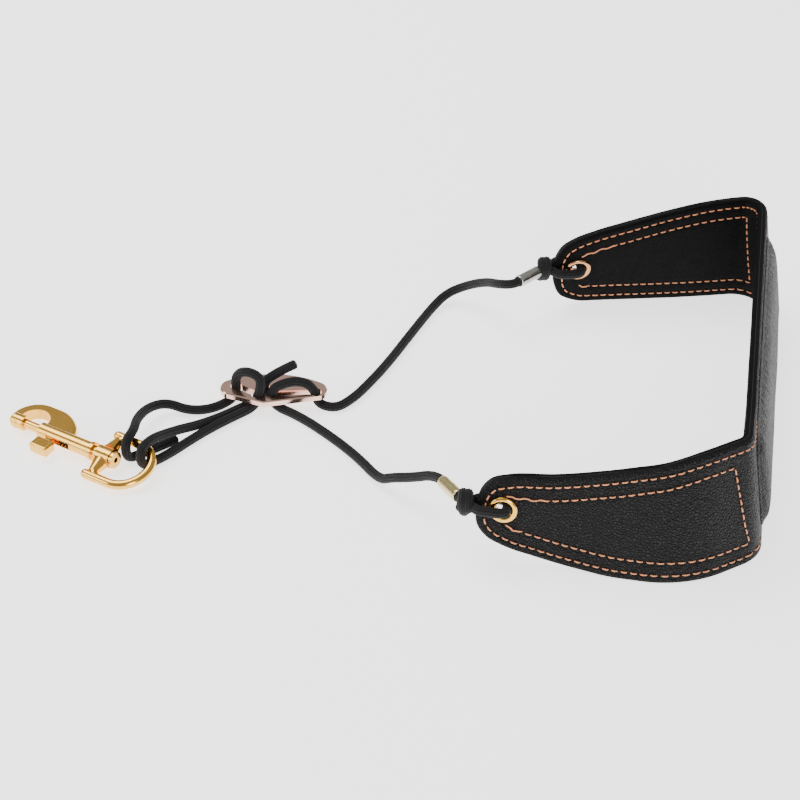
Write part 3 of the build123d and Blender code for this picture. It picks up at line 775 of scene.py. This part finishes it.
class STRAP_OT_cushion(Maker):
    """Padded cushion on the outside of the neck"""
    bl_idname = "strap.cushion"
    bl_label = "Cushion"

    def make(self, scene):
        band = sheet()
        middle_s = band.starts[4] + (4.0 - band.parts[4][1].y)
        half_length, half_height, corner, rise = 75.0, 22.9, 9.0, 4.5
        centre_z, face = 27.5, scene.strap_band.leather / MM + 0.18
        columns, rows = 181, 57
        u = np.sin(np.linspace(-math.pi / 2, math.pi / 2, columns))
        v = np.sin(np.linspace(-math.pi / 2, math.pi / 2, rows))
        points, cut = [], []
        for back in (0, 1):
            for a in u:
                for b in v:
                    x, y = a * half_length, b * half_height
                    over_x, over_y = abs(x) - (half_length - corner), abs(y) - (half_height - corner)
                    if over_x > 0 and over_y > 0:
                        square = max(over_x, over_y)
                        scale = square / math.hypot(over_x, over_y)
                        x = math.copysign(half_length - corner + over_x * scale, x)
                        y = math.copysign(half_height - corner + over_y * scale, y)
                        depth = corner - square
                    else:
                        depth = min(half_length - abs(x), half_height - abs(y))
                    rim = min(depth / 1.2, 1.0)
                    swell = 1 - math.exp(-max(depth - 1.6, 0) / 4.2)
                    wave = (x + y * 0.4) * 1.15 + 2 * noise.noise((x * 0.05, y * 0.05, 0))
                    gather = 0.30 * math.exp(-((depth - 3.2) / 2.4) ** 2) * math.sin(wave)
                    slack = 0.45 * noise.noise((x * 0.035, y * 0.06, 5.0)) * swell
                    crown = (rise - 0.9) * swell * (1 - 0.10 * (y / half_height) ** 2)
                    lift = 0.9 * math.sqrt(max(rim, 0)) + crown + gather * swell + slack
                    d = face + (max(lift, 0.02) if back == 0 else 0.0)
                    points.append(band.world(middle_s + x, centre_z + y, d))
                    cut.append(0.0)
        faces, n = [], rows
        for i in range(columns - 1):
            for j in range(rows - 1):
                q = (i * n + j, i * n + j + 1, (i + 1) * n + j + 1, (i + 1) * n + j)
                faces.append(q)
                faces.append(tuple(reversed([k + columns * n for k in q])))
        rim = [i * n for i in range(columns)] + [(columns - 1) * n + j for j in range(1, n)]
        rim += [i * n + n - 1 for i in range(columns - 2, -1, -1)] + [j for j in range(n - 2, 0, -1)]
        for j, k in enumerate(rim):
            m = rim[(j + 1) % len(rim)]
            faces.append((k, m, m + columns * n, k + columns * n))
        made = piece("neck_cushion", points, faces, "pebbled leather", cut_edge=cut)
        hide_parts("cushion_cover", "cushion_foam")
        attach(made, "strap")


def dress(node, finish):
    """Give a CAD node its finish."""
    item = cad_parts[node]
    item.data.materials.clear()
    item.data.materials.append(finish_of(finish))
    return item


def eyelet_place(s, face):
    """Matrix at an eyelet: z out of the band on the given face."""
    band = sheet()
    along, wall, out = band.axes(s)
    spot = Vector(band.world(s, NEAR_HEIGHT if s < 100 else FAR_HEIGHT, 0))
    turn = Matrix((along, wall * face, out * face)).transposed().to_4x4()
    return Matrix.Translation(spot) @ turn


class STRAP_OT_eyelets(Maker):
    """Rolled metal eyelets and their washers"""
    bl_idname = "strap.eyelets"
    bl_label = "Eyelets"

    def make(self, scene):
        band = sheet()
        rolled = [
            (3.3, -2.5), (3.3, 1.9), (3.35, 2.35), (3.6, 2.72), (4.1, 2.95), (4.7, 2.98), (5.3, 2.82),
            (5.7, 2.45), (5.8, 2.1), (5.55, 2.05), (4.6, 2.2), (3.75, 2.1), (3.65, -2.5),
        ]
        washer = [
            (3.7, 2.2), (3.45, 2.45), (3.6, 2.72), (4.1, 2.85), (4.8, 2.82), (5.4, 2.65), (5.8, 2.3),
            (5.8, 2.05), (3.7, 2.05),
        ]
        eyelets = (("near", EYELET_IN, "gold", 1), ("far", band.length - EYELET_IN, "old gold", -1))
        for name, s, finish, face in eyelets:
            front = lathe(name + "_rolled_eyelet", rolled, eyelet_place(s, face), finish)
            back = lathe(name + "_back_washer", washer, eyelet_place(s, -face), finish)
            for made, node in ((front, "_eyelet"), (back, "_eyelet_washer")):
                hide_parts(name + node)
                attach(made, "strap")


CENTRE_FRONT, CENTRE_BACK, CENTRE_RIGHT = (-59.0, -18.0), (-57.0, -12.6), (-53.0, -16.6)
LEFT_HOLE, RIGHT_HOLE = (-69.0, -13.5), (-34.5, -12.7)
# heights of a cord's middle: on the table, inside the slider plate and over the ring's wire
REST, SPLIT, OVER = 2.1, 6.7, 11.44
RING_AT, RING_HEADING = (-113.0, -64.3), math.radians(156.5)


def by_ring(u, v, z):
    """Point over the table beside the swivel ring."""
    along, across = math.cos(RING_HEADING), math.sin(RING_HEADING)
    return (RING_AT[0] + u * along + v * across, RING_AT[1] + u * across - v * along, z)


ROUTES = {
    "near_cord": [
        (15.0, -67.5, 12.6), (6.8, -63.2, 8.0),
        (0.5, -59.6, 3.0), (-10.5, -46.0, REST), (-24.0, -34.2, REST), (-40.0, -22.5, REST),
        (*CENTRE_RIGHT, REST), (*CENTRE_RIGHT, SPLIT),
    ],
    "far_cord": [
        (34.8, 57.8, 22.8), (27.6, 67.4, 16.8),
        (18.0, 73.4, 9.4), (9.4, 73.0, 4.4), (4.0, 63.7, 2.3), (-2.0, 44.0, REST), (-9.4, 18.5, REST),
        (-15.4, 2.5, REST), (-19.6, -7.0, REST), (-25.6, -15.0, REST),
        (*RIGHT_HOLE, REST), (*RIGHT_HOLE, SPLIT),
    ],
    "slack_strand": [
        (*LEFT_HOLE, SPLIT), (*LEFT_HOLE, REST), (-76.8, -23.2, REST), (-87.0, -26.2, REST),
        (-96.6, -25.2, 4.6), (-103.0, -33.0, 7.2), (-104.9, -44.2, 9.4), by_ring(-4.6, 13.5, OVER),
        by_ring(-6.4, 5.4, OVER), by_ring(-6.4, 5.4, REST), by_ring(-9.6, 12.6, REST),
        by_ring(-13.2, 20.4, REST), by_ring(-15.8, 27.6, REST),
    ],
    "band_strand": [
        (*CENTRE_BACK, SPLIT), (*CENTRE_BACK, REST), (-64.6, -19.6, REST), (-73.0, -29.0, 2.3),
        (-80.6, -37.0, 3.6), (-87.0, -45.0, 6.6), (-91.8, -52.4, 9.2), by_ring(-14.5, 12.5, OVER),
        by_ring(-14.5, 4.8, OVER), by_ring(-14.5, 4.8, REST), by_ring(-17.6, 12.6, REST),
        by_ring(-19.6, 20.8, REST), (-82.4, -46.2, REST), (-76.2, -37.4, REST), (-68.6, -28.4, REST),
        (*CENTRE_FRONT, REST), (*CENTRE_FRONT, SPLIT),
    ],
    "left_loop": [
        (*LEFT_HOLE, SPLIT), (-69.4, -13.4, 11.4), (-67.2, -13.6, 15.6), (-62.6, -15.2, 17.6),
        (-57.6, -16.6, 16.2), (-57.2, -18.0, 11.0), (*CENTRE_FRONT, SPLIT),
    ],
    "right_loop": [
        (*CENTRE_RIGHT, SPLIT), (-53.0, -16.6, 9.6), (-49.4, -15.4, 12.4), (-43.0, -13.4, 13.8),
        (-36.6, -12.2, 11.6), (*RIGHT_HOLE, SPLIT),
    ],
    "free_end": [
        (*CENTRE_BACK, SPLIT), (-57.0, -12.6, 10.8), (-53.6, -11.4, 13.6), (-48.4, -9.6, 16.6),
        (-43.6, -8.0, 18.8),
    ],
}


# each tip's cord: the way it pulls, and the lengths from the knot to the ferrule and on past it
PULLS = {"near": (Vector((-0.57, 0.80, -0.18)), 5.0, 6.0), "far": (Vector((-0.55, -0.82, 0.10)), 3.4, 3.4)}
FERRULE, FERRULE_OUTSIDE, FERRULE_INSIDE = 14.0, 2.70, 2.15
# a knot: how far it stands beyond the tip, its turns, their radii up the wall and out of it, and its length
KNOT_OUT, KNOT_TURNS, KNOT_UP, KNOT_ACROSS, KNOT_LENGTH = 4.6, 1.9, 3.75, 3.0, 3.9


def tip_frame(name):
    """Middle of a tip, and the directions beyond it, up its wall and out of the band."""
    band = sheet()
    s, height, way = (0.0, NEAR_HEIGHT, -1) if name == "near" else (band.length, FAR_HEIGHT, 1)
    along, wall, out = band.axes(s)
    return Vector(band.world(s, height, 0)), along * way, wall, out


def pull_points(name):
    """The cord's first point at its ferrule, and one straight on from it."""
    if name not in PULLS:
        return []
    tip, beyond, wall, out = tip_frame(name)
    pull, start, run = PULLS[name]
    way = pull.normalized()
    end = tip + beyond * KNOT_OUT + way * (start + FERRULE)
    return [tuple(end), tuple(end + way * run)]


# a length of cord, in millimetres, that at() moves a point along
FADE = 18.0


class STRAP_OT_cords(Maker):
    """The cord's free runs from the band to the slider plate and the ring"""
    bl_idname = "strap.cords"
    bl_label = "Cords"

    def make(self, scene):
        ends = (("near_cord", -1, "object"), ("far_cord", -1, "object"),
                ("slack_strand", 0, "bare"), ("band_strand", 0, "object"))
        for name, plate_end, far_end in ends:
            line = smooth_line(pull_points(name.split("_")[0]) + ROUTES[name], 0.55)
            made = cord_mesh(name + "_braid", line, ends=(False, far_end == "bare"))
            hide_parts(name)
            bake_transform(made)

    def at(self, point, share, plate_end=0):
        """A point moved along a fixed way by a share of FADE, in metres."""
        way = Vector((-0.94, -0.34, 0)) if plate_end == 0 else Vector((0.94, 0.34, 0))
        return tuple((Vector(point) + way * FADE * share) * MM)


class STRAP_OT_loops(Maker):
    """The cord's turns on top of the slider plate"""
    bl_idname = "strap.loops"
    bl_label = "Loops on the plate"

    def make(self, scene):
        for name in ("left_loop", "right_loop", "free_end"):
            made = cord_mesh(name + "_braid", smooth_line(ROUTES[name], 0.45), ends=(False, name == "free_end"))
            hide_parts(name)
            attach(made, "adjuster")


class STRAP_OT_knots(Maker):
    """Knots beyond the band's tips, and the bights through the eyelets"""
    bl_idname = "strap.knots"
    bl_label = "Knots"

    def make(self, scene):
        for name in ("near", "far"):
            tip, beyond, wall, out = tip_frame(name)
            pull, start, _ = PULLS[name]
            self.turns(name, tip + beyond * KNOT_OUT, beyond, wall, out, pull.normalized(), start)
            self.bight(name, tip, beyond, out, wall)

    def turns(self, name, centre, beyond, wall, out, pull, start):
        steps, line = 26, []
        for k in range(int(KNOT_TURNS * steps)):
            a = 2 * math.pi * k / steps - 0.6
            drift = (k / (KNOT_TURNS * steps) - 0.5) * KNOT_LENGTH
            turned = wall * math.sin(a) * KNOT_UP + out * math.cos(a) * KNOT_ACROSS
            line.append(centre + beyond * drift + turned)
        first = cord_mesh(name + "_knot_turns", even(np.array([tuple(p) for p in line]), 0.45))
        core = [centre - beyond * 1.5 + wall * 0.2, centre]
        core += [centre + pull * (start + FERRULE * share) for share in (0, 0.6, 1)]
        second = cord_mesh(name + "_knot_tail", smooth_line([tuple(p) for p in core], 0.5))
        for made in (first, second):
            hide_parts(name + "_knot")
            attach(made, "strap")

    def bight(self, name, tip, beyond, out, wall):
        reach = EYELET_IN + 1.2
        front = [(1.9, 1.2, -0.4), (-0.8, 4.6, -0.3), (-5.0, 5.0, 0), (-reach + 2.2, 5.1, 0), (-reach, 4.2, 0)]
        route = front + [(-reach - 0.2, 0, 0)] + [(x, -y, -z) for x, y, z in reversed(front)]
        line = [tuple(tip + beyond * x + out * y + wall * z) for x, y, z in route]
        made = cord_mesh(name + "_eyelet_bight", smooth_line(line, 0.45))
        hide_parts(name + "_eyelet_loop")
        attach(made, "strap")


class STRAP_OT_ferrules(Maker):
    """Crimped metal sleeves on the cord"""
    bl_idname = "strap.ferrules"
    bl_label = "Ferrules"

    def make(self, scene):
        for name, finish in (("near", "pale gold"), ("far", "silver")):
            tip, beyond, wall, out = tip_frame(name)
            pull, start, _ = PULLS[name]
            pull = pull.normalized()
            centre = tip + beyond * KNOT_OUT + pull * start
            side = pull.cross(wall).normalized()
            place = Matrix.Translation(centre) @ Matrix((side, pull.cross(side), pull)).transposed().to_4x4()
            points = []
            steps, rings = 40, 29
            for i in range(rings):
                share = i / (rings - 1)
                lip = 0.25 * math.exp(-((min(share, 1 - share) * FERRULE) / 0.5) ** 2)
                press = 0.05 * sum(math.exp(-((share - c) * FERRULE / 1.3) ** 2) for c in (0.3, 0.7))
                for k in range(steps):
                    a = 2 * math.pi * k / steps
                    seam = 0.22 * math.exp(-((a - 1.1) / 0.10) ** 2)
                    radius = FERRULE_OUTSIDE - lip - seam - press * abs(math.sin(a)) ** 3
                    spot = Vector((radius * math.cos(a), radius * math.sin(a), share * FERRULE))
                    points.append(tuple(place @ spot))
            for share in (1.0, 0.5, 0.0):
                for k in range(steps):
                    a = 2 * math.pi * k / steps
                    spot = Vector((math.cos(a) * FERRULE_INSIDE, math.sin(a) * FERRULE_INSIDE, share * FERRULE))
                    points.append(tuple(place @ spot))
            faces = ring_faces(rings + 3, steps)
            last = (rings + 2) * steps
            faces += [(last + j, last + (j + 1) % steps, (j + 1) % steps, j) for j in range(steps)]
            made = piece(name + "_crimped_ferrule", points, faces, finish)
            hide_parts(name + "_ferrule")
            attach(made, "strap")


class STRAP_OT_metal(Maker):
    """Finishes of the slider plate, ring and snap hook"""
    bl_idname = "strap.metal"
    bl_label = "Plate, ring and hook"

    def make(self, scene):
        parts = (
            ("slider_plate", "rose gold", 0.35), ("swivel_ring", "gold", 0.3), ("swivel_stud", "gold", 0.2),
            ("hook_body", "gold", 0.4), ("latch_bolt", "gold", 0.2), ("thumb_button", "gold", 0.4),
            ("latch_spring", "spring steel", 0.0),
        )
        for node, finish, width in parts:
            item = dress(node, finish)
            if width:
                bevel = item.modifiers.new("softened edges", "BEVEL")
                bevel.width = width * MM
                bevel.segments = 3
                bevel.limit_method = "ANGLE"
                bevel.angle_limit = math.radians(35)
                bevel.harden_normals = True


class STRAP_OT_stage(Maker):
    """Floor, camera and soft studio light"""
    bl_idname = "strap.stage"
    bl_label = "Stage"

    def make(self, scene):
        stage = scene.strap_stage
        target = Vector((4.0, -27.5, 20.0)) * MM
        a, e = stage.azimuth, stage.elevation
        back = Vector((math.sin(a) * math.cos(e), -math.cos(a) * math.cos(e), math.sin(e)))
        data = bpy.data.cameras.new("camera")
        data.lens = stage.lens
        data.sensor_width = 36.0
        data.clip_start = 0.01
        camera = bpy.data.objects.new("camera", data)
        camera.location = target + back * stage.distance
        camera.rotation_euler = back.to_track_quat("Z", "Y").to_euler()
        scene.collection.objects.link(camera)
        scene.camera = camera
        self.floor(scene)
        self.light(scene, "key", (-0.5, 0.35, 1.25), 1.1, stage.key)
        self.light(scene, "fill", (0.45, -1.25, 0.55), 0.6, stage.fill)
        self.light(scene, "side", (-1.2, -0.5, 0.5), 0.7, stage.fill * 0.6)
        world = bpy.data.worlds.new("studio")
        scene.world = world
        world.use_nodes = True
        world.node_tree.nodes["Background"].inputs["Color"].default_value = (1.0, 1.0, 1.0, 1)
        world.node_tree.nodes["Background"].inputs["Strength"].default_value = 0.42

    def floor(self, scene):
        mesh = bpy.data.meshes.new("floor")
        mesh.from_pydata([(-6, -6, 0), (6, -6, 0), (6, 6, 0), (-6, 6, 0)], [], [(0, 1, 2, 3)])
        f = Finish("pale floor")
        mesh.materials.append(f.surface({
            "Base Color": (0.93, 0.93, 0.93, 1), "Roughness": 0.9, "Specular IOR Level": 0.1,
            "Emission Color": (1, 1, 1, 1), "Emission Strength": 1.9,
        }))
        floor = bpy.data.objects.new("floor", mesh)
        scene.collection.objects.link(floor)

    def light(self, scene, name, place, size, power):
        data = bpy.data.lights.new(name, "AREA")
        data.shape = "DISK"
        data.size = size
        data.energy = power
        lamp = bpy.data.objects.new(name, data)
        lamp.location = place
        lamp.rotation_euler = Vector(place).to_track_quat("Z", "Y").to_euler()
        scene.collection.objects.link(lamp)


STEPS = ("stage", "cords", "loops", "band", "seams", "cushion", "eyelets", "knots", "ferrules", "metal")


class STRAP_PT_panel(bpy.types.Panel):
    """Lists the strap's pieces and sizes"""
    bl_label = "Neck Strap"
    bl_idname = "STRAP_PT_panel"
    bl_space_type = "VIEW_3D"
    bl_region_type = "UI"
    bl_category = "Neck Strap"

    def draw(self, context):
        for step in STEPS:
            self.layout.operator("strap." + step)
        for settings in (getattr(context.scene, name) for name in GROUPS):
            box = self.layout.box()
            for key in settings.__annotations__:
                box.prop(settings, key)


GROUPS = {
    "strap_band": BandSettings, "strap_cord": CordSettings,
    "strap_metal": MetalSettings, "strap_stage": StageSettings,
}
CLASSES = (
    *GROUPS.values(), STRAP_OT_band, STRAP_OT_seams, STRAP_OT_cushion, STRAP_OT_eyelets, STRAP_OT_cords,
    STRAP_OT_loops, STRAP_OT_knots, STRAP_OT_ferrules, STRAP_OT_metal, STRAP_OT_stage, STRAP_PT_panel,
)


def register():
    for cls in CLASSES:
        bpy.utils.register_class(cls)
    for name, group in GROUPS.items():
        setattr(bpy.types.Scene, name, PointerProperty(type=group))


def unregister():
    for name in GROUPS:
        delattr(bpy.types.Scene, name)
    for cls in reversed(CLASSES):
        bpy.utils.unregister_class(cls)


def main():
    register()
    for step in STEPS:
        getattr(bpy.ops.strap, step)()


if __name__ == "__main__":
    main()
